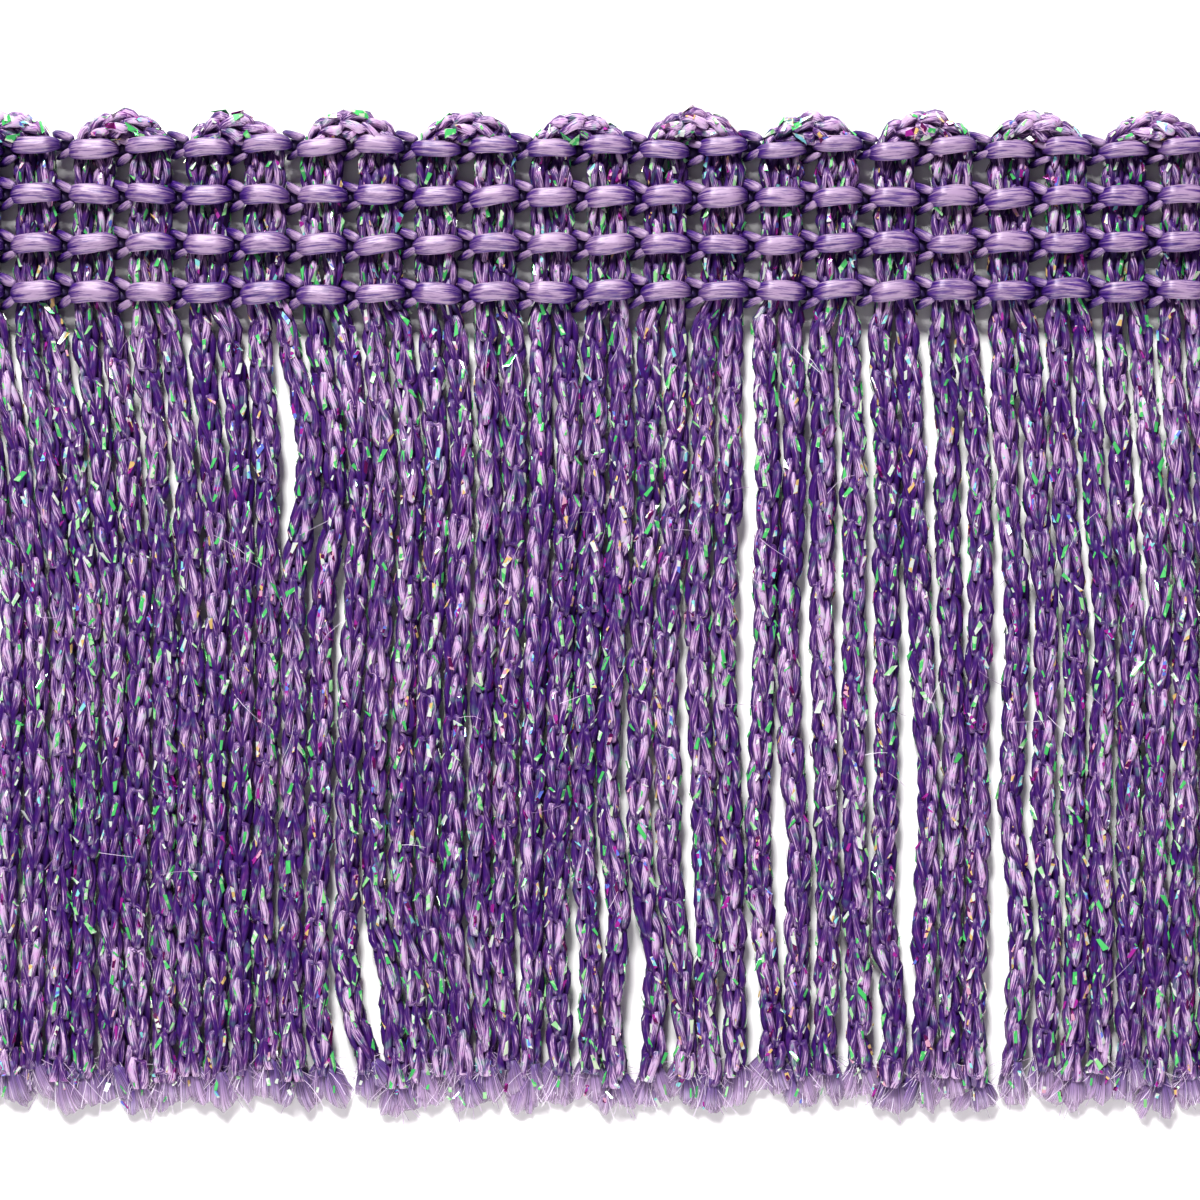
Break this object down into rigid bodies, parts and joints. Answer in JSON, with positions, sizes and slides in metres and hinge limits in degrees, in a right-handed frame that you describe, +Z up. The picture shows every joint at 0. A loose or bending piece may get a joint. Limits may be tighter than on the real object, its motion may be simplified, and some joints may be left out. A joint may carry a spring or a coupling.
{
  "type": "chainette fringe trim",
  "caption": "Cut length of knitted cord fringe trim with a scalloped, chain-stitched heading and free hanging strands.",
  "frame": {"origin": "on the surface the trim lies on, under the middle of its bounding box", "axes": "+X along the trim, +Y across it to the scalloped edge, -Y to the cut ends of the fringe, +Z up out of its face"},
  "size_m": [0.0696, 0.0512, 0.0024],
  "materials": {
    "cord_yarn": "violet knitted cord with iridescent film",
    "fringe_yarn": "violet knitted strands with iridescent film and frayed ends",
    "satin_thread": "lilac satin thread"
  },
  "bodies": {
    "root": {"fringe": "fringe_yarn", "binding_row_1": "satin_thread", "binding_row_2": "satin_thread", "binding_row_3": "satin_thread", "binding_row_4": "satin_thread", "scallop_01_outer": "cord_yarn", "scallop_01_inner": "cord_yarn", "scallop_02_outer": "cord_yarn", "scallop_02_inner": "cord_yarn", "scallop_03_outer": "cord_yarn", "scallop_03_inner": "cord_yarn", "scallop_04_outer": "cord_yarn", "scallop_04_inner": "cord_yarn", "scallop_05_outer": "cord_yarn", "scallop_05_inner": "cord_yarn", "scallop_06_outer": "cord_yarn", "scallop_06_inner": "cord_yarn", "scallop_07_outer": "cord_yarn", "scallop_07_inner": "cord_yarn", "scallop_08_outer": "cord_yarn", "scallop_08_inner": "cord_yarn", "scallop_09_outer": "cord_yarn", "scallop_09_inner": "cord_yarn", "scallop_10_outer": "cord_yarn", "scallop_10_inner": "cord_yarn", "scallop_11_outer": "cord_yarn", "scallop_11_inner": "cord_yarn", "scallop_12_outer": "cord_yarn", "scallop_12_inner": "cord_yarn"}
  },
  "joints": []
}
